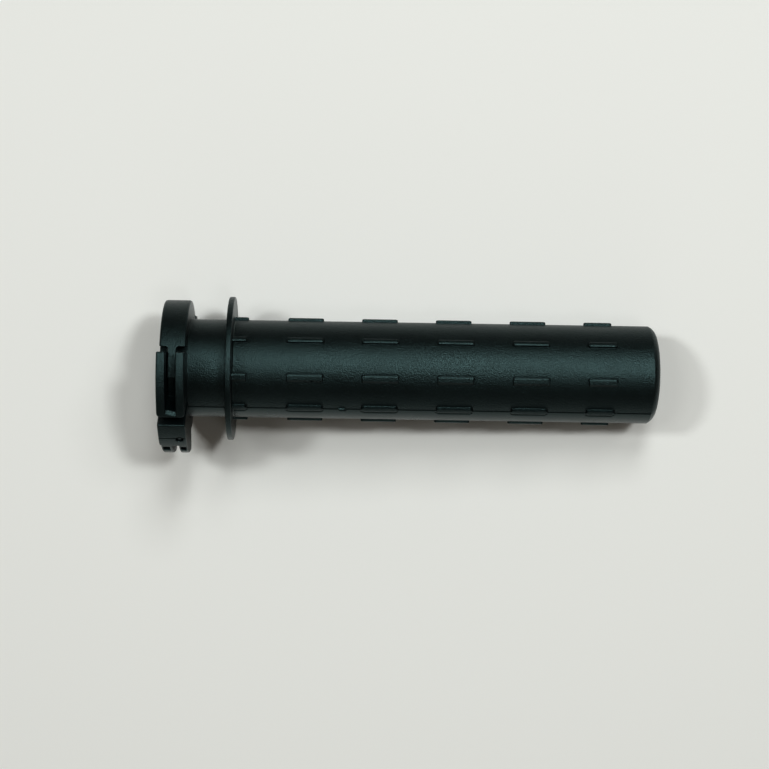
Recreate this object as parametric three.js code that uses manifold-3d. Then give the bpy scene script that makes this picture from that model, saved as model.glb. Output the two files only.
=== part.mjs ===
// Moulded throttle tube for a motorcycle handlebar, with the horseshoe guide plate that carries
// the throttle cables clipped round its drum end.
//
// Millimetres. +X runs along the tube towards its closed outer end, +Z is up, and the origin is
// on the tube's axis at the open mouth of the bore. Angles round the tube are in degrees from +Z,
// and grow towards -Y.

import * as THREE from 'three';
import { mergeVertices } from 'three/addons/utils/BufferGeometryUtils.js';
import Module from 'manifold-3d';

const wasm = await Module();
wasm.setup();

// Driving dimensions
const BAR_RADIUS = 11.1;
const BORE_CLEARANCE = 0.2;
const FIT_GAP = 0.3;
const ROUND_FACETS = 48;

const tube = { radius: 13.7, cylinderEnd: 136.4, length: 139.2, endWall: 2.6 };
const flange = { start: 18.35, end: 19.95, radius: 20.2, rimChamfer: 0.3 };

const rib = { height: 0.82, width: 2.2, length: 10, lastLength: 7.8, rootDepth: 1 };
const ribRows = [-82, -35, 10, 50, 94, 140, 186, 232];
const ribColumns = { flangeStubEnd: 23.8, first: 34.95, pitch: 20.82, count: 5 };

const hub = { start: 0.3, end: 7.6, radius: 19.05, nearFace: 5.6, farFace: -13.6 };
const tongue = { start: 2.75, end: 5, depth: 1.2, tip: 10 };

const plate = {
  start: 0,
  end: 7.65,
  radius: 24,
  nearLegTip: 4.1,
  farLegTip: 15.3,
  flatBottom: -22,
};
const upperGroove = { from: -20, to: 31, start: 2.45, end: 5.3 };
const lowerGroove = { from: 65, to: 120, start: 3.45, end: 5.4 };
const grooveFloorRadius = 15.6;
const recess = { from: 35.2, to: 41.5, floorRadius: 19.05, sideInset: 0.3 };
const lowerWall = { from: 66.3, to: 215, sideInset: 0.4 };
const farRelief = { from: 103, to: 150 };
const nippleSlot = { from: 67, to: 75.5, floorRadius: 20, inner: [0.8, 2.85], outer: [5.75, 7.3] };
const pinHole = { x: 5.85, angle: 56, radius: 1.1, depth: 2.2 };

// Worked out from the dimensions above
const boreRadius = BAR_RADIUS + BORE_CLEARANCE;
const plateBore = tube.radius + FIT_GAP;
const CUT_MARGIN = 5;

const radians = (degrees) => THREE.MathUtils.degToRad(degrees);

/** The point at a radius and an angle round the tube, in the cross-section's (Y, Z) plane. */
function around(radius, angle) {
  const turn = radians(angle);
  return new THREE.Vector2(-radius * Math.sin(turn), radius * Math.cos(turn));
}

/** A closed geometry as a solid that can be cut and joined. */
function solid(geometry) {
  geometry.deleteAttribute('normal');
  geometry.deleteAttribute('uv');
  const merged = mergeVertices(geometry, 1e-5);
  return new wasm.Manifold(new wasm.Mesh({
    numProp: 3,
    vertProperties: new Float32Array(merged.attributes.position.array),
    triVerts: new Uint32Array(merged.index.array),
  }));
}

/** A named mesh made from a finished solid. */
function part(name, body, material) {
  const { vertProperties, triVerts } = body.getMesh();
  const geometry = new THREE.BufferGeometry();
  geometry.setAttribute('position', new THREE.BufferAttribute(new Float32Array(vertProperties), 3));
  geometry.setIndex(new THREE.BufferAttribute(new Uint32Array(triVerts), 1));
  geometry.computeVertexNormals();
  const mesh = new THREE.Mesh(geometry, material);
  mesh.name = name;
  return mesh;
}

/** A solid of revolution about X. The profile holds [radius, x] pairs from axis to axis. */
function turned(profile) {
  const points = profile.map(([radius, x]) => new THREE.Vector2(radius, x));
  const geometry = new THREE.LatheGeometry(points, ROUND_FACETS);
  geometry.rotateZ(-Math.PI / 2);
  return solid(geometry);
}

/** A cross-section drawn in the (Y, Z) plane, carried along X from start to end. */
function slab(shape, start, end) {
  const geometry = new THREE.ExtrudeGeometry(shape, {
    depth: end - start,
    bevelEnabled: false,
    curveSegments: ROUND_FACETS / 2,
  });
  const axes = new THREE.Matrix4().makeBasis(
    new THREE.Vector3(0, 1, 0),
    new THREE.Vector3(0, 0, 1),
    new THREE.Vector3(1, 0, 0),
  );
  geometry.applyMatrix4(axes);
  geometry.translate(start, 0, 0);
  return solid(geometry);
}

/** A round sector of a ring about the X axis: between two angles, two radii and two X values. */
function ringSector(from, to, innerRadius, outerRadius, start, end) {
  const steps = Math.max(1, Math.ceil((to - from) / (360 / ROUND_FACETS)));
  const outline = [];
  for (let i = 0; i <= steps; i += 1) {
    outline.push(around(outerRadius, from + ((to - from) * i) / steps));
  }
  for (let i = steps; i >= 0; i -= 1) {
    outline.push(around(innerRadius, from + ((to - from) * i) / steps));
  }
  return slab(new THREE.Shape(outline), start, end);
}

/** A straight bar along X from start to end, across y and z from low to high. */
function bar(start, end, lowY, highY, lowZ, highZ) {
  const geometry = new THREE.BoxGeometry(end - start, highY - lowY, highZ - lowZ);
  geometry.translate((start + end) / 2, (lowY + highY) / 2, (lowZ + highZ) / 2);
  return solid(geometry);
}

/** The tube's outside: open end, plain barrel, and a rounded edge into a slightly domed end. */
function barrel() {
  const { radius, cylinderEnd, length } = tube;
  return turned([
    [0, 0],
    [radius, 0],
    [radius, cylinderEnd],
    [radius - 0.85, cylinderEnd + 1.5],
    [radius - 2.2, cylinderEnd + 2.05],
    [radius - 6, cylinderEnd + 2.5],
    [0, length],
  ]);
}

/** The space that the handlebar fills. */
function boreSpace() {
  const floor = tube.length - tube.endWall;
  return turned([
    [0, -CUT_MARGIN],
    [boreRadius, -CUT_MARGIN],
    [boreRadius, floor],
    [0, floor],
  ]);
}

/** The thin stop flange between the drum and the grip, with its rim corners chamfered. */
function stopFlange() {
  const { start, end, radius, rimChamfer } = flange;
  return turned([
    [0, start],
    [radius - rimChamfer, start],
    [radius, start + rimChamfer],
    [radius, end - rimChamfer],
    [radius - rimChamfer, end],
    [0, end],
  ]);
}

/** One raised key that holds the rubber grip: its sides are square to the barrel. */
function gripRib(angle, start, end) {
  const half = rib.width / 2;
  const top = tube.radius + rib.height;
  const body = bar(start, end, -half, half, tube.radius - rib.rootDepth, top);
  return body.rotate([angle, 0, 0]);
}

/** Every grip rib: a stub against the flange, then equal columns, the last one shorter. */
function gripRibs() {
  const spans = [[flange.end - FIT_GAP, ribColumns.flangeStubEnd]];
  for (let i = 0; i < ribColumns.count; i += 1) {
    const start = ribColumns.first + i * ribColumns.pitch;
    const length = i === ribColumns.count - 1 ? rib.lastLength : rib.length;
    spans.push([start, start + length]);
  }
  let ribs = null;
  for (const angle of ribRows) {
    for (const [start, end] of spans) {
      const next = gripRib(angle, start, end);
      ribs = ribs ? ribs.add(next) : next;
    }
  }
  return ribs;
}

/** The solid half of the drum, on the +Y side, with the tongue that fills the plate's groove. */
function hubBlock() {
  const drum = turned([[0, hub.start], [hub.radius, hub.start], [hub.radius, hub.end], [0, hub.end]]);
  const reach = hub.radius + CUT_MARGIN;
  const block = drum.intersect(bar(hub.start - 1, hub.end + 1, hub.nearFace, reach, hub.farFace, reach));
  const root = (Math.asin(-hub.nearFace / hub.radius) * 180) / Math.PI - 3;
  return block.add(
    ringSector(root, tongue.tip, hub.radius - tongue.depth, hub.radius, tongue.start, tongue.end),
  );
}

/** The whole tube moulding. */
function throttleTube() {
  return barrel().add(stopFlange()).add(hubBlock()).add(gripRibs()).subtract(boreSpace());
}

/** The horseshoe's outline, open towards +Y. */
function horseshoeOutline() {
  const nearTop = Math.sqrt(plate.radius ** 2 - plate.nearLegTip ** 2);
  const farBottom = Math.sqrt(plate.radius ** 2 - plate.farLegTip ** 2);
  const flatHalf = Math.sqrt(plate.radius ** 2 - plate.flatBottom ** 2);
  const turn = (y, z) => Math.atan2(z, y);
  const { radius, flatBottom, nearLegTip, farLegTip } = plate;

  const shape = new THREE.Shape();
  shape.moveTo(nearLegTip, plateBore);
  shape.lineTo(nearLegTip, nearTop);
  shape.absarc(0, 0, radius, turn(nearLegTip, nearTop), 2 * Math.PI + turn(-flatHalf, flatBottom), false);
  shape.lineTo(flatHalf, flatBottom);
  shape.absarc(0, 0, radius, turn(flatHalf, flatBottom), turn(farLegTip, -farBottom), false);
  shape.lineTo(farLegTip, -plateBore);
  shape.lineTo(0, -plateBore);
  shape.absarc(0, 0, plateBore, -Math.PI / 2, -1.5 * Math.PI, true);
  shape.closePath();
  return shape;
}

/** Both cable grooves, which run round the rim and stop at the bridge between them. */
function cableGrooves() {
  const rim = plate.radius + CUT_MARGIN;
  const [upper, lower] = [upperGroove, lowerGroove].map(({ from, to, start, end }) => (
    ringSector(from, to, grooveFloorRadius, rim, start, end)
  ));
  return upper.add(lower);
}

/** The cross recess below the upper groove, cut to the drum's own radius. */
function crossRecess() {
  const rim = plate.radius + CUT_MARGIN;
  const { from, to, floorRadius, sideInset } = recess;
  const across = ringSector(from, to, floorRadius, rim, plate.start - 1, plate.end + 1);
  const nearSide = ringSector(from, to, plateBore - 1, rim, plate.start - 1, plate.start + sideInset);
  const farSide = ringSector(from, to, plateBore - 1, rim, plate.end - sideInset, plate.end + 1);
  return across.add(nearSide).add(farSide);
}

/** The long relief between the lower groove's walls and the far leg, where only the base ring is left. */
function farLegRelief() {
  const rim = plate.radius + CUT_MARGIN;
  return ringSector(farRelief.from, farRelief.to, recess.floorRadius, rim, plate.start - 1, plate.end + 1);
}

/** The shallow step that sets the plate's outer face back everywhere beyond the bridge. */
function faceStep() {
  const { from, to, sideInset } = lowerWall;
  const rim = plate.radius + CUT_MARGIN;
  return ringSector(from, to, plateBore - 1, rim, plate.start - 1, plate.start + sideInset);
}

/** The pockets in the lower groove's two walls that take the ends of the cable nipple. */
function nippleSlots() {
  const rim = plate.radius + CUT_MARGIN;
  const { from, to, floorRadius, inner, outer } = nippleSlot;
  return ringSector(from, to, floorRadius, rim, ...inner).add(
    ringSector(from, to, floorRadius, rim, ...outer),
  );
}

/** The small round blind hole in the bridge, square to the rim. */
function bridgeHole() {
  const geometry = new THREE.CylinderGeometry(pinHole.radius, pinHole.radius, 2 * pinHole.depth, 16);
  geometry.rotateX(Math.PI / 2);
  geometry.translate(pinHole.x, 0, plate.radius);
  return solid(geometry).rotate([pinHole.angle, 0, 0]);
}

/** The whole guide plate moulding. */
function guidePlate() {
  return slab(horseshoeOutline(), plate.start, plate.end)
    .subtract(cableGrooves())
    .subtract(crossRecess())
    .subtract(farLegRelief())
    .subtract(faceStep())
    .subtract(nippleSlots())
    .subtract(bridgeHole());
}

const nylon = (color, roughness) => new THREE.MeshStandardMaterial({ color, roughness, metalness: 0 });

const throttleGrip = new THREE.Group();
throttleGrip.add(
  part('throttle_tube', throttleTube(), nylon(0x1b262a, 0.5)),
  part('guide_plate', guidePlate(), nylon(0x18222a, 0.55)),
);

export default throttleGrip;
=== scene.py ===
"""The looks of a moulded throttle tube and its guide plate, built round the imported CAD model.

Lengths in the shape code are millimetres in the row frame: +X runs along the tube, +Z is up.
Angles round the tube are in degrees from +Z and grow towards -Y, as in the CAD model.
"""
import math

import bpy
import numpy as np
from mathutils import Matrix, Vector


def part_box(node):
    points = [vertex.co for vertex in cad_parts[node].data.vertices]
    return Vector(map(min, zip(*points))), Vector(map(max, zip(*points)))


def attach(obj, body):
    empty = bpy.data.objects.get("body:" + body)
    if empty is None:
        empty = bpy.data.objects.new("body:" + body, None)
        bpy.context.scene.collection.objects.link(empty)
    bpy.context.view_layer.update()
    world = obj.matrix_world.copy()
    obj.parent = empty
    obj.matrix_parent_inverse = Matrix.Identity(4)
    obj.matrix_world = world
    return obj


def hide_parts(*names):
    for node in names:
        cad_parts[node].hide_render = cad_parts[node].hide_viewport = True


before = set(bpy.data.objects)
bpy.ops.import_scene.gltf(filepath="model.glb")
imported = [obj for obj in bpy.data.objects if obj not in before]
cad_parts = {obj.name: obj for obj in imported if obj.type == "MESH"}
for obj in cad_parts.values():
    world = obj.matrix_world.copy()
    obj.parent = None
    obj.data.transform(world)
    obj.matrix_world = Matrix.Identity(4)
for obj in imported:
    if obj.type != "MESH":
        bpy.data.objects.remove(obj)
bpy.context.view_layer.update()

MM = 0.001
TUBE_LOW, TUBE_HIGH = (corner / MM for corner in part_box("throttle_tube"))
PLATE_LOW, PLATE_HIGH = (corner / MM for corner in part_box("guide_plate"))

# The tube moulding
TUBE_LENGTH = TUBE_HIGH.x
BARREL_RADIUS = 13.7
BARREL_END = TUBE_LENGTH - 2.8
BORE_RADIUS = 11.3
BORE_FLOOR = TUBE_LENGTH - 2.6
BORE_FLOOR_FILLET = 1.0
MOUTH_ROUND = 0.3
FLANGE_START = 18.35
FLANGE_END = 19.95
FLANGE_ROUND = 0.3
FLANGE_INNER_FILLET = 0.45
FLANGE_OUTER_FILLET = 0.4
FLANGE_RADIUS = TUBE_HIGH.z

# The barrel's closed end: a slight edge, a round shoulder and a slightly domed face
TIP_EDGE_TURN = 20
TIP_EDGE_FALL = 0.05
TIP_ROUND = 2.8
TIP_DOME_TURN = 82

# The grip ribs
RIB_HEIGHT = 0.82
RIB_WIDTH = 1.55
RIB_LENGTH = 10.0
RIB_LAST_LENGTH = 7.8
RIB_FIRST = 34.95
RIB_PITCH = 20.82
RIB_COLUMNS = 5
STUB_END = 23.8
RIB_ROWS = (-86.0, -34.8, 8.8, 49.7, 95.5, 143.0, 188.0, 230.0)
RIB_CORNER = 0.42
RIB_SHOULDER = 0.5
RIB_SHOULDER_DROP = 0.18
RIB_MOAT = 0.09
LEAST_LIFT = 0.02
RIB_EDGE_LINES = (-0.62, -0.5, -0.4, -0.3, -0.2, -0.1, -0.03, 0.0, 0.03, 0.09, 0.16, 0.23, 0.3, 0.4)
STEEP_ROWS = (RIB_ROWS[0], RIB_ROWS[4])
RAGGED_RIBS = ((2, 1), (2, 4))

# The rib row that the mould's parting line runs through is flatter, on a raised apron
PARTING_ROW = 3
PARTING_CORNER = 1.7 * RIB_CORNER
PARTING_SHOULDER_DROP = 0.3 * RIB_SHOULDER_DROP
PARTING_MOAT = 0.15
PARTING_APRON = 1.05

# The two mould halves part in a plane through the tube's axis and open square to it
PARTING_ANGLE = 52.0
PULL_ANGLE = PARTING_ANGLE - 90
PARTING_STEP = 0.13
PARTING_STEP_REACH = 7.0
PARTING_GROOVE = 0.05
GATE_X = 50.4
GATE_HALF_LENGTH = 1.0
GATE_HALF_WIDTH = 0.55
GATE_HEIGHT = 0.45

# A faint joint line of the mould's insert near the closed end
INSERT_ANGLE = -32.0
INSERT_STEP = 0.035
INSERT_STEP_REACH = 3.0
INSERT_START = 126.5
INSERT_FULL = 130.0

# The solid half of the drum, and its tongue
HUB_START = 0.3
HUB_END = 7.6
HUB_RADIUS = 19.05
HUB_NEAR_FACE = 5.6
HUB_FAR_FACE = -13.6
TONGUE = (2.65, 5.0)
TONGUE_TIP = 10.0
TONGUE_DEPTH = 1.2
TONGUE_LOW = -3.7
TONGUE_ROOT = HUB_NEAR_FACE + 1.5
HUB_RIM_ROUND = 0.55
HUB_FILLET = 0.75

# The guide plate. A groove, recess or wall is given by its two sides along X or its two angles,
# and a LOW or FAR height keeps a cut that is made at an angle on its own side of the axis.
PLATE_BORE = BARREL_RADIUS + 0.3
PLATE_RADIUS = -PLATE_LOW.y
PLATE_WIDTH = PLATE_HIGH.x
PLATE_FLAT = PLATE_LOW.z
NEAR_LEG_TIP = 4.1
FAR_LEG_TIP = PLATE_HIGH.y
GROOVE_FLOOR = 15.6
UPPER_GROOVE = (2.45, 5.3)
UPPER_GROOVE_END = 31.0
UPPER_GROOVE_LOW = 4.0
UPPER_GROOVE_MIDDLE = 3.9
UPPER_GROOVE_SLANT = 0.22
LOWER_GROOVE = (3.45, 5.4)
LOWER_GROOVE_START = 65.5
LOWER_GROOVE_END = 120.0
LOWER_GROOVE_FAR = -15.0
RAILS_LOW = -3.0
RECESS = (35.2, 41.5)
RECESS_INSET = 0.3
BRIDGE_END = 66.3
WALL_START = BRIDGE_END - 4
WALL_SIDES = (0.4, PLATE_WIDTH - 0.05)
FAR_SIDE = -5.0
FAR_RELIEF = (103.0, 150.0)
POCKETS = ((0.8, 2.8), (5.75, 7.25))
POCKET_ANGLES = (67.5, 75.5)
POCKET_FLOOR = 20.0
PIN_HOLE = (5.85, 56.0)
PIN_HOLE_RADIUS = 1.1
PIN_HOLE_DEPTH = 0.75
PIN_STUB_RADIUS = 0.55
PIN_STUB_DROP = 0.3
PLATE_SEAM_ANGLE = PIN_HOLE[1] - 1.3
PLATE_SEAM_HALF = 0.14
PLATE_SEAM_DEPTH = 0.16
RAIL_ROUND = 1.1
BRIDGE_ROUND = 1.2
RIM_ROUND = 0.42
EDGE_ROUND = 0.3

# Grid lines of the tube closer than HAIR are merged, and gaps wider than these are filled in
HAIR = 0.015
WIDEST_ALONG = 1.6
WIDEST_DEGREES = 3.0

# The grid cells that the hub and the plate are meshed with, and the room left round them
HUB_CELL = 0.19
HUB_ROOM = 0.57
PLATE_CELL = 0.18
PLATE_ROOM = 0.53


# --- Mesh helpers -------------------------------------------------------------------------------

def mesh_object(name, vertices, faces):
    """An object made of vertices in millimetres and of faces, which are listed turning outwards."""
    mesh = bpy.data.meshes.new(name)
    mesh.from_pydata((np.asarray(vertices) * MM).tolist(), [], faces)
    mesh.validate()
    mesh.update()
    obj = bpy.data.objects.new(name, mesh)
    bpy.context.scene.collection.objects.link(obj)
    return obj


def apply_modifiers(obj):
    """Bakes an object's modifiers into its mesh."""
    graph = bpy.context.evaluated_depsgraph_get()
    final = bpy.data.meshes.new_from_object(obj.evaluated_get(graph))
    obj.modifiers.clear()
    obj.data = final
    final.name = obj.name


def join_solids(obj, other):
    """Adds another closed solid to this one, as one closed surface, and removes the other."""
    modifier = obj.modifiers.new("join", "BOOLEAN")
    modifier.operation = "UNION"
    modifier.solver = "EXACT"
    modifier.object = other
    apply_modifiers(obj)
    bpy.data.objects.remove(other)


def shade_smooth(obj, angle=38):
    """Smooth shading that still breaks at the sharp edges."""
    bpy.context.view_layer.objects.active = obj
    obj.select_set(True)
    bpy.ops.object.shade_smooth_by_angle(angle=math.radians(angle))
    obj.select_set(False)


# --- Shapes as signed distances -----------------------------------------------------------------

def round_max(a, b, radius):
    """Where both shapes are, with the edge between them rounded to a radius."""
    corner = np.hypot(np.maximum(a + radius, 0), np.maximum(b + radius, 0))
    return np.minimum(np.maximum(a, b), -radius) + corner


def round_min(a, b, radius):
    """Where either shape is, with a fillet of a radius where they meet."""
    return -round_max(-a, -b, radius)


def slab(value, low, high):
    """Between two parallel planes."""
    return np.abs(value - (low + high) / 2) - (high - low) / 2


def beyond(y, z, angle):
    """The side of a plane through the axis where the angle round the tube is larger."""
    turn = math.radians(angle)
    return y * math.cos(turn) + z * math.sin(turn)


def surface_net(field, low, high, step):
    """The closed surface where a field crosses zero, as vertices and quads on a regular grid."""
    low = np.asarray(low, float)
    counts = np.ceil((np.asarray(high, float) - low) / step).astype(int) + 1
    axes = [low[i] + step * np.arange(counts[i]) for i in range(3)]
    values = field(*np.meshgrid(*axes, indexing="ij"))
    inside = values < 0
    cell_shape = counts - 1
    cell_total = int(np.prod(cell_shape))
    weights = np.array([cell_shape[1] * cell_shape[2], cell_shape[2], 1])
    sums = np.zeros((cell_total, 3))
    hits = np.zeros(cell_total)
    quads = []
    for axis in range(3):
        first = [slice(None)] * 3
        second = [slice(None)] * 3
        first[axis] = slice(0, -1)
        second[axis] = slice(1, None)
        before, after = values[tuple(first)], values[tuple(second)]
        crossing = inside[tuple(first)] != inside[tuple(second)]
        index = np.argwhere(crossing)
        before, after = before[crossing], after[crossing]
        points = index.astype(float)
        points[:, axis] += before / (before - after)
        side_a, side_b = (axis + 1) % 3, (axis + 2) % 3
        around = []
        for step_a, step_b in ((-1, -1), (0, -1), (0, 0), (-1, 0)):
            cell = index.copy()
            cell[:, side_a] += step_a
            cell[:, side_b] += step_b
            flat = cell @ weights
            around.append(flat)
            hits += np.bincount(flat, minlength=cell_total)
            for k in range(3):
                sums[:, k] += np.bincount(flat, weights=points[:, k], minlength=cell_total)
        ring = np.stack(around, axis=1)
        ring[before > 0] = ring[before > 0][:, ::-1]
        quads.append(ring)
    used = hits > 0
    number = np.cumsum(used) - 1
    points = low + step * sums[used] / hits[used][:, None]
    return settle(field, points, step), number[np.concatenate(quads)]


def settle(field, points, step):
    """Moves points onto the field's zero surface."""
    nudge = step / 20
    for _ in range(4):
        value = field(*points.T)
        slope = np.empty_like(points)
        for axis in range(3):
            shift = np.zeros(3)
            shift[axis] = nudge
            slope[:, axis] = (field(*(points + shift).T) - field(*(points - shift).T)) / (2 * nudge)
        size = np.maximum((slope ** 2).sum(1), 0.25)
        move = -slope * (value / size)[:, None]
        points = points + np.clip(move, -step / 2, step / 2)
    return points


def net_object(name, field, low, high, room, cell):
    """An object whose surface is a field's zero surface, meshed in a box with some room round it."""
    vertices, quads = surface_net(field, np.asarray(low) - room, np.asarray(high) + room, cell)
    return mesh_object(name, vertices, quads.tolist())


# --- The throttle tube --------------------------------------------------------------------------

def spread(lines, gap):
    """Sorted grid lines with none closer than a hair, and more put in where they stand wide apart."""
    kept = []
    for line in sorted(lines):
        if not kept or line - kept[-1] > HAIR:
            kept.append(line)
    filled = [kept[0]]
    for line in kept[1:]:
        steps = max(1, math.ceil((line - filled[-1]) / gap - 1e-6))
        start = filled[-1]
        filled.extend(start + (line - start) * i / steps for i in range(1, steps + 1))
    return np.array(filled)


def arc(centre, radius, start, end, steps):
    """Points (x, r) on an arc, with its angles in degrees measured from +X towards +r."""
    angles = np.radians(np.linspace(start, end, steps + 1))
    return [(centre[0] + radius * math.cos(a), centre[1] + radius * math.sin(a)) for a in angles]


def rib_spans():
    """Each rib column's start and end along the tube, the stub against the flange first."""
    spans = [(FLANGE_END - 2, STUB_END)]
    for i in range(RIB_COLUMNS):
        start = RIB_FIRST + i * RIB_PITCH
        length = RIB_LAST_LENGTH if i == RIB_COLUMNS - 1 else RIB_LENGTH
        spans.append((start, start + length))
    return spans


def skirt_width(angle):
    """How far a rib's wall leans out so that its mould half can open, and on which side."""
    lean = (angle - PULL_ANGLE + 90) % 180 - 90
    if not 10 <= abs(lean) <= 80 or angle in STEEP_ROWS:
        return 0.0
    return RIB_HEIGHT * math.tan(math.radians(lean))


def smooth_step(value, low, high):
    """0 below low and 1 above high, with a smooth rise between them."""
    t = np.clip((value - low) / (high - low), 0, 1)
    return t * t * (3 - 2 * t)


def wobble(x, seed, pitch):
    """A smooth wandering value between about -1 and 1 along x."""
    total = np.zeros_like(x)
    for k in range(1, 5):
        total += np.sin(x * (2 * math.pi / pitch) * k * 0.83 + seed * (1.7 + k) * 2.3) / k
    return total / 1.6


def box_distance(along, side, corner):
    """Distance outside a rectangle with rounded corners, from the distances past its two pairs of sides."""
    along, side = along + corner, side + corner
    outside = np.hypot(np.maximum(along, 0), np.maximum(side, 0))
    return outside + np.minimum(np.maximum(along, side), 0) - corner


def around(angle, centre, radius):
    """The distance round the tube from one angle to others, at a radius."""
    return ((angle - centre + 180) % 360 - 180) * math.radians(1) * radius


def rib_top(along, across, parting):
    """A rib's height as a share of RIB_HEIGHT, from the distances past its ends and its middle."""
    corner = PARTING_CORNER if parting else RIB_CORNER
    drop = PARTING_SHOULDER_DROP if parting else RIB_SHOULDER_DROP
    distance = box_distance(along, np.abs(across) - RIB_WIDTH / 2, corner)
    top = 1 - smooth_step(distance, -0.03, 0.03)
    shoulder = np.clip(1 + distance / RIB_SHOULDER, 0, 1) ** 1.4 * drop / RIB_HEIGHT
    return top * (1 - shoulder)


def rib_skirt(along, past, reach, tear):
    """The leaning wall on one side of a rib as a share of RIB_HEIGHT, its slope torn where told to."""
    fall = np.clip(1 - past / reach, 0, 1)
    fall = np.clip(fall + tear * (past > 0.1) * (past < reach), 0, 1)
    ends = 1 - smooth_step(along, -0.14, 0.06)
    return fall * ends * (past > -RIB_WIDTH / 2)


def rib_tear(x, middle, column):
    """How ragged a torn rib's leaning wall is along the tube."""
    torn = wobble(x, column + 3, 2.1) + 0.6 * wobble(x, column + 11, 0.9)
    return 0.34 * smooth_step(x, middle - 1, middle + 1) * torn


def rib_moat(along, across, skirt, parting):
    """The shallow moat that the mould leaves round a rib's foot, but not along a leaning wall."""
    foot = skirt + (PARTING_APRON if parting else 0)
    side = np.abs(across - foot / 2) - (RIB_WIDTH + abs(foot)) / 2
    depth = PARTING_MOAT if parting else RIB_MOAT
    if skirt and not parting:
        depth = depth * (1 - smooth_step(across * math.copysign(1, skirt), 0, RIB_WIDTH / 2))
    beside = box_distance(along, side, PARTING_CORNER if parting else RIB_CORNER)
    return depth * np.exp(-((beside - 0.14) / 0.1) ** 2)


def rib_lift(x, angle):
    """How high the ribs stand over the barrel at points given by x and angle, and the moat round them."""
    lift = np.zeros(np.broadcast(x, angle).shape)
    moat = np.zeros(lift.shape)
    for row, centre in enumerate(RIB_ROWS):
        across = around(angle, centre, BARREL_RADIUS + RIB_HEIGHT)
        skirt = skirt_width(centre)
        parting = row == PARTING_ROW
        for column, (start, end) in enumerate(rib_spans()):
            along = slab(x, start, end)
            top = rib_top(along, across, parting)
            if skirt:
                past = across * math.copysign(1, skirt) - RIB_WIDTH / 2
                torn = (row, column) in RAGGED_RIBS
                tear = rib_tear(x, (start + end) / 2, column) if torn else 0
                top = np.maximum(top, rib_skirt(along, past, abs(skirt), tear))
            moat = np.maximum(moat, rib_moat(along, across, skirt, parting))
            lift = np.maximum(lift, RIB_HEIGHT * top)
    return np.where(lift > LEAST_LIFT, lift, -moat)


def fading_step(past, height, reach, low, high):
    """A small step up at a line, which dies away past it."""
    return height * smooth_step(past, low, high) * np.exp(-np.maximum(past, 0) / reach)


def mould_marks(x, angle):
    """Small marks of moulding on the tube: the parting steps, a gate stub, and the insert's line."""
    marks = np.zeros(np.broadcast(x, angle).shape)
    for line_angle in (PARTING_ANGLE, PARTING_ANGLE + 180):
        past = around(angle, line_angle, BARREL_RADIUS)
        marks += fading_step(past, PARTING_STEP, PARTING_STEP_REACH, -0.15, 0.25)
        marks -= PARTING_GROOVE * np.exp(-((past + 0.08) / 0.13) ** 2)
    past = around(angle, PARTING_ANGLE, BARREL_RADIUS)
    gate = round_max(np.abs(x - GATE_X - 0.35 * past) - GATE_HALF_LENGTH,
                     np.abs(past - 0.2) - GATE_HALF_WIDTH, 0.2)
    marks += GATE_HEIGHT * (1 - smooth_step(gate, -0.1, 0.06))
    past = around(angle, INSERT_ANGLE, BARREL_RADIUS)
    near_tip = smooth_step(x, INSERT_START, INSERT_FULL)
    return marks + fading_step(past, INSERT_STEP, INSERT_STEP_REACH, -0.3, 0.1) * near_tip


def outer_profile():
    """The tube's outside from the mouth to the tip as (x, r), without the ribs."""
    lines = [FLANGE_END + 0.5, GATE_X - 1.3, GATE_X + 1.3, INSERT_START - 0.5, BARREL_END - 0.5]
    for start, end in rib_spans():
        lines.extend(end + offset for offset in RIB_EDGE_LINES)
        if start > FLANGE_END:
            lines.extend(start + offset for offset in RIB_EDGE_LINES)
            lines.extend(np.arange(start + 0.8, end - 0.6, 0.35))
    lines.extend(np.arange(GATE_X - 1.5, GATE_X + 1.6, 0.12))
    profile = arc((MOUTH_ROUND, BARREL_RADIUS - MOUTH_ROUND), MOUTH_ROUND, 180, 90, 4)
    profile += [(x, BARREL_RADIUS) for x in np.arange(1.2, FLANGE_START - 0.6, 0.9)]
    fillet = FLANGE_INNER_FILLET
    profile += arc((FLANGE_START - fillet, BARREL_RADIUS + fillet), fillet, 270, 360, 5)
    profile += [(FLANGE_START, r) for r in np.arange(BARREL_RADIUS + 1.2, FLANGE_RADIUS - 0.8, 1)]
    profile += arc((FLANGE_START + FLANGE_ROUND, FLANGE_RADIUS - FLANGE_ROUND), FLANGE_ROUND, 180, 90, 5)
    profile += arc((FLANGE_END - FLANGE_ROUND, FLANGE_RADIUS - FLANGE_ROUND), FLANGE_ROUND, 90, 0, 5)
    profile += [(FLANGE_END, r) for r in np.arange(FLANGE_RADIUS - 1.2, BARREL_RADIUS + 1.3, -1)]
    profile += [(FLANGE_END, BARREL_RADIUS + r) for r in (1.05, 0.95, 0.86, 0.8, 0.7, 0.55)]
    fillet = FLANGE_OUTER_FILLET
    profile += arc((FLANGE_END + fillet, BARREL_RADIUS + fillet), fillet, 180, 270, 5)
    barrel = spread(lines, WIDEST_ALONG)
    profile += [(x, BARREL_RADIUS) for x in barrel if x > FLANGE_END + 0.45]
    profile += tip_profile()
    return np.array(profile)


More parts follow.
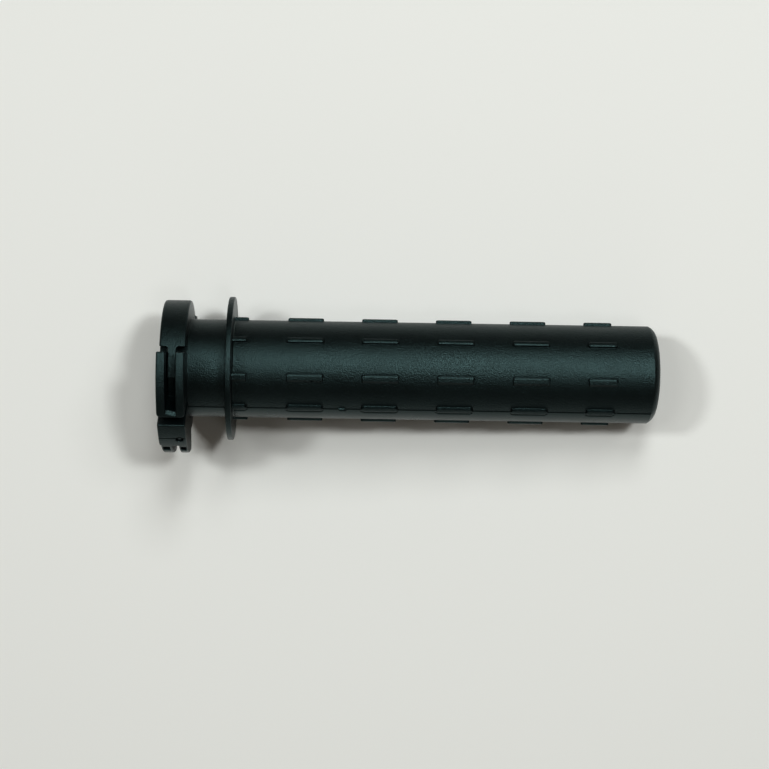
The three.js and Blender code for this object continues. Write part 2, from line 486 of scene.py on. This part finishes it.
def tip_profile():
    """The crisp edge at the barrel's end, the round shoulder after it, and the slightly domed end."""
    turns = np.radians(np.linspace(TIP_EDGE_TURN, TIP_DOME_TURN, 15))
    first = turns[0]
    points = [
        (BARREL_END + TIP_ROUND * (math.sin(t) - math.sin(first)),
         BARREL_RADIUS - TIP_EDGE_FALL - TIP_ROUND * (math.cos(first) - math.cos(t)))
        for t in turns
    ]
    points.insert(0, (BARREL_END - 0.25, BARREL_RADIUS - TIP_EDGE_FALL / 4))
    shoulder_x, shoulder_r = points[-1]
    for share in np.linspace(0.93, 0.06, 14):
        points.append((TUBE_LENGTH - (TUBE_LENGTH - shoulder_x) * share ** 2, shoulder_r * share))
    return points


def bore_profile():
    """The bore from the middle of its floor to the mouth as (x, r)."""
    profile = [(BORE_FLOOR, r) for r in np.linspace(0.7, BORE_RADIUS - 1.4, 8)]
    fillet = BORE_FLOOR_FILLET
    profile += arc((BORE_FLOOR - fillet, BORE_RADIUS - fillet), fillet, 0, 90, 5)
    profile += [(x, BORE_RADIUS) for x in np.linspace(BORE_FLOOR - 8, 3, 14)]
    profile += arc((MOUTH_ROUND, BORE_RADIUS + MOUTH_ROUND), MOUTH_ROUND, 270, 180, 4)
    return np.array(profile)


def angle_lines():
    """The grid lines round the tube, close together at the rib edges and the parting lines."""
    to_degrees = 1 / (math.radians(1) * (BARREL_RADIUS + RIB_HEIGHT))
    lines = [0.0]
    for centre in RIB_ROWS:
        for side in (-1, 1):
            edge = centre + side * RIB_WIDTH / 2 * to_degrees
            lines.extend(edge + side * offset * to_degrees for offset in RIB_EDGE_LINES)
        skirt = skirt_width(centre)
        if skirt:
            side = math.copysign(to_degrees, skirt)
            edge = centre + side * RIB_WIDTH / 2
            lines.extend(edge + side * abs(skirt) * share for share in (0.2, 0.4, 0.6, 0.8, 0.95, 1.05))
            lines.extend(edge + side * (abs(skirt) + offset) for offset in (0.07, 0.14, 0.21, 0.3))
    for line in (PARTING_ANGLE, PARTING_ANGLE + 180, INSERT_ANGLE):
        lines.extend(line + offset * to_degrees for offset in np.arange(-0.36, 0.37, 0.09))
    lines.extend(PARTING_ANGLE + offset * to_degrees for offset in np.arange(-0.6, 1.6, 0.08))
    wrapped = sorted(line % 360 for line in lines)
    kept = spread(wrapped + [wrapped[0] + 360], WIDEST_DEGREES)
    return kept[:-1]


def outer_radii(x, plain, angles):
    """The tube's outside radius at each x and angle: the plain profile with its ribs and mould marks."""
    radius = np.repeat(plain, len(angles), axis=1)
    on_barrel = (radius < BARREL_RADIUS + 0.01) & (x < BARREL_END + 0.2)
    may_lift = (x > FLANGE_END - 0.01) & (x <= BARREL_END + 0.1)
    lift = rib_lift(x, angles[None, :])
    lifted = np.maximum(radius + np.minimum(lift, 0), BARREL_RADIUS + lift)
    radius = np.where(may_lift & ((lift > 0) | on_barrel), lifted, radius)
    fade = np.where(on_barrel, 1 - smooth_step(lift, 0.05, 0.4), 0) * smooth_step(x, 0.3, 1.0)
    return radius + mould_marks(x, angles[None, :]) * fade


def ring_faces(rows, columns):
    """Faces between rings of points, each end closed by a centre point listed after the rings."""
    faces = []
    first_centre, last_centre = rows * columns, rows * columns + 1
    last_ring = (rows - 1) * columns
    for j in range(columns):
        k = (j + 1) % columns
        for ring in range(0, last_ring, columns):
            after = ring + columns
            faces.append((ring + j, after + j, after + k, ring + k))
        faces.append((first_centre, j, k))
        faces.append((last_centre, last_ring + k, last_ring + j))
    return faces


def throttle_tube_body():
    """The tube turned about its axis, with its ribs and mould marks, as a closed surface."""
    outer, bore, angles = outer_profile(), bore_profile(), angle_lines()
    outside = outer_radii(outer[:, :1], outer[:, 1:], angles)
    radius = np.vstack([np.repeat(bore[:, 1:], len(angles), axis=1), outside])
    x = np.vstack([bore[:, :1], outer[:, :1]])
    turn = np.radians(angles)[None, :]
    rings = np.stack([
        np.broadcast_to(x, radius.shape),
        -radius * np.sin(turn),
        radius * np.cos(turn),
    ], axis=2)
    centres = [(BORE_FLOOR, 0, 0), (TUBE_LENGTH, 0, 0)]
    vertices = rings.reshape(-1, 3).tolist() + centres
    return mesh_object("throttle_tube_moulding", vertices, ring_faces(*radius.shape))


def hub_field(x, y, z):
    """The drum's solid half and the tongue that runs down into the plate's groove."""
    r = np.hypot(y, z)
    rim = round_max(r - HUB_RADIUS, slab(x, HUB_START, HUB_END), HUB_RIM_ROUND)
    block = round_max(rim, round_max(HUB_NEAR_FACE - y, HUB_FAR_FACE - z, EDGE_ROUND), 0.35)
    tongue = round_max(slab(r, HUB_RADIUS - TONGUE_DEPTH, HUB_RADIUS), slab(x, *TONGUE), EDGE_ROUND)
    tongue = round_max(tongue, -beyond(y, z, TONGUE_TIP), 0.5)
    tongue = np.maximum(tongue, np.maximum(y - TONGUE_ROOT, -z))
    joined = np.maximum(round_min(block, tongue, HUB_FILLET), r - HUB_RADIUS)
    return np.maximum(joined, BARREL_RADIUS - 1 - r)


def make_throttle_tube():
    """The whole tube moulding as one closed surface."""
    tube = throttle_tube_body()
    low = (HUB_START, TONGUE_LOW, HUB_FAR_FACE)
    high = (HUB_END, HUB_RADIUS, HUB_RADIUS)
    join_solids(tube, net_object("hub", hub_field, low, high, HUB_ROOM, HUB_CELL))
    shade_smooth(tube)
    return tube


# --- The guide plate ----------------------------------------------------------------------------

def groove_space(x, r, ends, sides):
    """A cable groove's space, between its sides and its ends and down to the groove floor."""
    return np.maximum(round_max(slab(x, *sides), GROOVE_FLOOR - r, 0.35), ends)


def raised_shape(x, y, z, r):
    """The parts of the plate that stand above its core: the rails, the bridge and the lower walls."""
    width = slab(x, 0, PLATE_WIDTH)
    past_recess = np.minimum(beyond(y, z, RECESS[1]), z - FAR_SIDE)
    rails = round_max(width, -beyond(y, z, RECESS[0]), RAIL_ROUND)
    rails = np.maximum(rails, RAILS_LOW - z)
    bridge = round_max(width, np.maximum(-beyond(y, z, BRIDGE_END), -z), BRIDGE_ROUND)
    bridge = round_max(bridge, past_recess, 0.25)
    walls = np.maximum(slab(x, *WALL_SIDES), past_recess)
    walls = np.maximum(walls, np.minimum(beyond(y, z, WALL_START), z - FAR_SIDE))
    relief = np.maximum(beyond(y, z, FAR_RELIEF[0]), -beyond(y, z, FAR_RELIEF[1]))
    walls = round_max(walls, -np.maximum(relief, y), EDGE_ROUND)
    rim = np.maximum(r - PLATE_RADIUS, PLATE_FLAT - z)
    return round_max(np.minimum(rails, np.minimum(bridge, walls)), rim, RIM_ROUND)


def cut_cable_grooves(body, x, y, z, r):
    """Cuts the upper groove, with its slanted and rounded end, and the lower groove."""
    end = -beyond(y, z, UPPER_GROOVE_END) - UPPER_GROOVE_SLANT * (x - UPPER_GROOVE_MIDDLE)
    end = np.minimum(end, (end + PLATE_RADIUS - 1 - r) * math.sqrt(0.5))
    upper = groove_space(x, r, np.maximum(UPPER_GROOVE_LOW - z, end), UPPER_GROOVE)
    start = np.minimum(beyond(y, z, LOWER_GROOVE_START), z - LOWER_GROOVE_FAR)
    end = np.maximum(-beyond(y, z, LOWER_GROOVE_END), y)
    lower = groove_space(x, r, np.maximum(start, end), LOWER_GROOVE)
    return round_max(round_max(body, -upper, 0.28), -lower, 0.25)


def cut_pockets(body, x, y, z, r):
    """Cuts the two small pockets below the bridge."""
    between = np.maximum(beyond(y, z, POCKET_ANGLES[0]), -beyond(y, z, POCKET_ANGLES[1]))
    for sides in POCKETS:
        pocket = np.maximum(np.maximum(slab(x, *sides), POCKET_FLOOR - r), between)
        body = round_max(body, -np.maximum(pocket, -z), 0.2)
    return body


def cut_bridge_marks(body, x, y, z, r):
    """Cuts the round pin hole in the bridge, with a stub in its middle, and the seam across it."""
    offset = np.hypot(x - PIN_HOLE[0], beyond(y, z, PIN_HOLE[1]))
    hole = np.maximum(offset - PIN_HOLE_RADIUS, np.maximum(PLATE_RADIUS - PIN_HOLE_DEPTH - r, -z))
    stub = np.maximum(offset - PIN_STUB_RADIUS, r - PLATE_RADIUS + PIN_STUB_DROP)
    body = round_max(body, -np.maximum(hole, -stub), 0.15)
    seam = slab(beyond(y, z, PLATE_SEAM_ANGLE), -PLATE_SEAM_HALF, PLATE_SEAM_HALF)
    seam = np.maximum(seam, PLATE_RADIUS - PLATE_SEAM_DEPTH - r)
    return np.maximum(body, -np.maximum(seam, -z))


def plate_field(x, y, z):
    """The horseshoe guide plate."""
    r = np.hypot(y, z)
    core = round_max(slab(x, RECESS_INSET, PLATE_WIDTH - RECESS_INSET), r - HUB_RADIUS, EDGE_ROUND)
    body = round_min(raised_shape(x, y, z, r), np.maximum(core, PLATE_FLAT - z), 0.2)
    mouth = np.minimum(r - PLATE_BORE, np.maximum(np.abs(z) - PLATE_BORE, -y))
    tips = np.where(z > 0, y - NEAR_LEG_TIP, y - FAR_LEG_TIP)
    body = round_max(round_max(body, -mouth, EDGE_ROUND), tips, EDGE_ROUND)
    body = cut_cable_grooves(body, x, y, z, r)
    body = cut_pockets(body, x, y, z, r)
    return cut_bridge_marks(body, x, y, z, r)


def make_guide_plate():
    """The guide plate as one closed surface."""
    low = (0, PLATE_LOW.y, PLATE_FLAT)
    high = (PLATE_WIDTH, FAR_LEG_TIP, PLATE_RADIUS)
    plate = net_object("guide_plate_moulding", plate_field, low, high, PLATE_ROOM, PLATE_CELL)
    shade_smooth(plate)
    return plate


# --- Materials ----------------------------------------------------------------------------------

NYLON_DARK = (0.0006, 0.0018, 0.0024)
NYLON_LIGHT = (0.0014, 0.0032, 0.0038)
NYLON_SHEEN = (0.62, 1.0, 1.0)
NYLON_IOR = 1.55
ROUGHNESS_BELOW, ROUGHNESS_ABOVE = 0.03, 0.04
SMOOTH_HALF_GRAIN = 0.35
SEAM_HALF_WIDTH = 0.08 * MM
FACING_END = (0.85, 0.97)

# Each noise is its scale per metre, its detail and its roughness; a grain also has a depth
CLOUD = (90, 3, 0.55)
GRAIN = (2800, 1.5, 0.6)
GRAIN_DEPTH = 0.16 * MM
FINE_GRAIN = (7000, 1, 0.5)
FINE_GRAIN_DEPTH = 0.02 * MM


def parting_normal():
    """The direction square to the mould's parting plane, towards the smoother mould half."""
    turn = math.radians(PARTING_ANGLE)
    return (0, -math.cos(turn), -math.sin(turn))


class Nodes:
    """Short ways to add nodes to one material, all placed in the object's own coordinates."""

    def __init__(self, material, seed):
        self.nodes, self.links = material.node_tree.nodes, material.node_tree.links
        self.shader = self.nodes["Principled BSDF"]
        self.place = self.nodes.new("ShaderNodeTexCoord")
        self.seed = seed

    def noise(self, scale, detail, rough):
        node = self.nodes.new("ShaderNodeTexNoise")
        node.noise_dimensions = "4D"
        node.inputs["W"].default_value = self.seed
        node.inputs["Scale"].default_value = scale
        node.inputs["Detail"].default_value = detail
        node.inputs["Roughness"].default_value = rough
        self.links.new(self.place.outputs["Object"], node.inputs["Vector"])
        return node.outputs["Fac"]

    def ramp(self, value, low, high, at_low, at_high):
        node = self.nodes.new("ShaderNodeMapRange")
        node.inputs["From Min"].default_value = low
        node.inputs["From Max"].default_value = high
        node.inputs["To Min"].default_value = at_low
        node.inputs["To Max"].default_value = at_high
        self.links.new(value, node.inputs["Value"])
        return node.outputs["Result"]

    def mix(self, factor, first, second):
        node = self.nodes.new("ShaderNodeMix")
        self.links.new(factor, node.inputs["Factor"])
        self.links.new(first, node.inputs["A"])
        self.links.new(second, node.inputs["B"])
        return node.outputs["Result"]

    def mix_colours(self, factor, first, second):
        node = self.nodes.new("ShaderNodeMix")
        node.data_type = "RGBA"
        node.inputs["A"].default_value = (*first, 1)
        node.inputs["B"].default_value = (*second, 1)
        self.links.new(factor, node.inputs["Factor"])
        return node.outputs["Result"]

    def sum_along(self, direction):
        node = self.nodes.new("ShaderNodeVectorMath")
        node.operation = "DOT_PRODUCT"
        node.inputs[1].default_value = direction
        self.links.new(self.place.outputs["Object"], node.inputs[0])
        return node.outputs["Value"]

    def facing_along_tube(self):
        apart = self.nodes.new("ShaderNodeSeparateXYZ")
        self.links.new(self.place.outputs["Normal"], apart.inputs["Vector"])
        size = self.nodes.new("ShaderNodeMath")
        size.operation = "ABSOLUTE"
        self.links.new(apart.outputs["X"], size.inputs[0])
        return size.outputs["Value"]

    def larger(self, first, second):
        node = self.nodes.new("ShaderNodeMath")
        node.operation = "MAXIMUM"
        self.links.new(first, node.inputs[0])
        self.links.new(second, node.inputs[1])
        return node.outputs["Value"]

    def bump(self, height, strength, depth, under=None):
        node = self.nodes.new("ShaderNodeBump")
        self.links.new(strength, node.inputs["Strength"])
        node.inputs["Distance"].default_value = depth
        self.links.new(height, node.inputs["Height"])
        if under:
            self.links.new(under, node.inputs["Normal"])
        return node.outputs["Normal"]


def nylon(name, roughness, polish, seed):
    """Blue-black moulded nylon: grained and satin on one mould half, smoother on the other."""
    material = bpy.data.materials.new(name)
    material.use_nodes = True
    tree = Nodes(material, seed)
    shader = tree.shader
    shader.inputs["IOR"].default_value = NYLON_IOR
    shader.inputs["Specular Tint"].default_value = (*NYLON_SHEEN, 1)

    past_seam = tree.ramp(tree.sum_along(parting_normal()), -SEAM_HALF_WIDTH, SEAM_HALF_WIDTH, 0, 1)
    end_face = tree.ramp(tree.facing_along_tube(), *FACING_END, 0, 1)
    smooth_share = tree.larger(past_seam, end_face)

    cloud = tree.noise(*CLOUD)
    colour = tree.mix_colours(tree.ramp(cloud, 0.35, 0.65, 0, 1), NYLON_DARK, NYLON_LIGHT)
    tree.links.new(colour, shader.inputs["Base Color"])
    satin, smooth = (
        tree.ramp(cloud, 0.3, 0.7, middle - ROUGHNESS_BELOW, middle + ROUGHNESS_ABOVE)
        for middle in (roughness, polish)
    )
    tree.links.new(tree.mix(smooth_share, satin, smooth), shader.inputs["Roughness"])

    strength = tree.ramp(smooth_share, 0, 1, 1.0, SMOOTH_HALF_GRAIN)
    normal = tree.bump(tree.noise(*GRAIN), strength, GRAIN_DEPTH)
    normal = tree.bump(tree.noise(*FINE_GRAIN), strength, FINE_GRAIN_DEPTH, normal)
    tree.links.new(normal, shader.inputs["Normal"])
    return material


def matt_material(name, colour):
    """A plain matt surface."""
    material = bpy.data.materials.new(name)
    material.use_nodes = True
    shader = material.node_tree.nodes["Principled BSDF"]
    shader.inputs["Base Color"].default_value = (*colour, 1)
    shader.inputs["Roughness"].default_value = 0.9
    return material


# --- The stage: floor, lights, camera -----------------------------------------------------------

REST_RIB_END = RIB_FIRST + (RIB_COLUMNS - 1) * RIB_PITCH + RIB_LAST_LENGTH
REST_RIB_DEPTH = BARREL_RADIUS + RIB_HEIGHT
CARD_LOW = (-300, -400)
CARD_HIGH = (450, 126)
CARD_DROP = 0.02
CARD_COLOUR = (0.77, 0.795, 0.775)
TABLE_LOW = (-1500, -1500)
TABLE_HIGH = (1500, 1500)
TABLE_DROP = 0.3
TABLE_COLOUR = (0.1, 0.1, 0.1)


def flat_sheet(name, low, high, drop, colour):
    """A flat sheet just under the plane through the plate's flat and the last ribs."""
    slope = math.atan2(-REST_RIB_DEPTH - PLATE_FLAT, REST_RIB_END - PLATE_WIDTH)
    corners = [(low[0], low[1], 0), (high[0], low[1], 0), (high[0], high[1], 0), (low[0], high[1], 0)]
    sheet = mesh_object(name, corners, [(0, 1, 2, 3)])
    sheet.location = Vector((PLATE_WIDTH, 0, PLATE_FLAT - drop)) * MM
    sheet.rotation_euler = (0, -slope, 0)
    sheet.data.materials.append(matt_material(name, colour))


def make_floor():
    """A pale card that the object lies on, on a darker table."""
    flat_sheet("card", CARD_LOW, CARD_HIGH, CARD_DROP, CARD_COLOUR)
    flat_sheet("table", TABLE_LOW, TABLE_HIGH, TABLE_DROP, TABLE_COLOUR)


# Each light's name, its direction from the object, its distance and width in metres, its power
LIGHTS = (
    ("beyond_low", (0.0, 0.5, 1.0), 1.2, 0.22, 1.8),
    ("beyond_high", (0.08, 0.77, 1.0), 1.2, 0.34, 2.6),
    ("right", (0.31, 0.18, 1.0), 1.2, 0.16, 4.5),
    ("right_far", (0.47, 0.32, 1.0), 1.2, 0.3, 1.3),
    ("left", (-0.68, 0.21, 1.0), 1.2, 0.16, 3.4),
    ("left_near", (-0.42, 0.1, 1.0), 1.2, 0.3, 1.3),
    ("near", (0.12, -0.2, 1.0), 1.2, 0.2, 0.6),
    ("near_low", (0.0, -1.0, 0.25), 1.0, 0.6, 0.5),
)
SURROUND_COLOUR = (1, 0.8, 0.62)
SURROUND_STRENGTH = 0.11


def round_light(name, direction, distance, size, power):
    """A round soft light that shines on the middle of the object from a direction."""
    data = bpy.data.lights.new(name, "AREA")
    data.shape = "DISK"
    data.size = size
    data.energy = power
    light = bpy.data.objects.new(name, data)
    middle = Vector(((TUBE_LOW.x + TUBE_HIGH.x) / 2 * MM, 0, 0))
    aim = Vector(direction).normalized()
    light.location = middle + aim * distance
    light.rotation_euler = aim.to_track_quat("Z", "Y").to_euler()
    bpy.context.scene.collection.objects.link(light)


def make_lights():
    """Small ceiling lights beyond the object and towards its ends, and a warm surround."""
    for light in LIGHTS:
        round_light(*light)
    world = bpy.data.worlds.new("surround")
    world.use_nodes = True
    background = world.node_tree.nodes["Background"]
    background.inputs["Color"].default_value = (*SURROUND_COLOUR, 1)
    background.inputs["Strength"].default_value = SURROUND_STRENGTH
    bpy.context.scene.world = world


VIEW_CENTRE = Vector((48.6, -1.9, 0))
VIEW_DISTANCE = 481.0
VIEW_ROLL = 0.92
VIEW_WIDTH = 217.6
VIEW_SHIFT = (0.0631, -0.0101)
VIEW_GAMMA = 0.77


def set_view():
    """The picture's tone: plain, with its middle tones a little darker."""
    bpy.context.scene.view_settings.view_transform = "Standard"
    bpy.context.scene.view_settings.gamma = VIEW_GAMMA


def make_camera():
    """A camera straight above the object, turned by about a degree."""
    data = bpy.data.cameras.new("camera")
    data.sensor_width = 36
    data.lens = data.sensor_width * VIEW_DISTANCE / VIEW_WIDTH
    data.shift_x, data.shift_y = VIEW_SHIFT
    data.clip_start = 0.01
    turn = Matrix.Rotation(math.radians(VIEW_ROLL), 4, "Z")
    back = turn @ Vector((0, 0, 1))
    camera = bpy.data.objects.new("camera", data)
    camera.matrix_world = Matrix.Translation((VIEW_CENTRE + back * VIEW_DISTANCE) * MM) @ turn
    bpy.context.scene.collection.objects.link(camera)
    bpy.context.scene.camera = camera


def finish_piece(obj, node, body, material):
    """Gives a piece its material and hands it over in place of its CAD node."""
    obj.data.materials.clear()
    obj.data.materials.append(material)
    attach(obj, body)
    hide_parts(node)


make_camera()
make_lights()
make_floor()
set_view()
tube_nylon = nylon("tube_nylon", roughness=0.36, polish=0.29, seed=3.0)
plate_nylon = nylon("plate_nylon", roughness=0.40, polish=0.33, seed=8.0)
finish_piece(make_throttle_tube(), "throttle_tube", "tube", tube_nylon)
finish_piece(make_guide_plate(), "guide_plate", "guide_plate", plate_nylon)
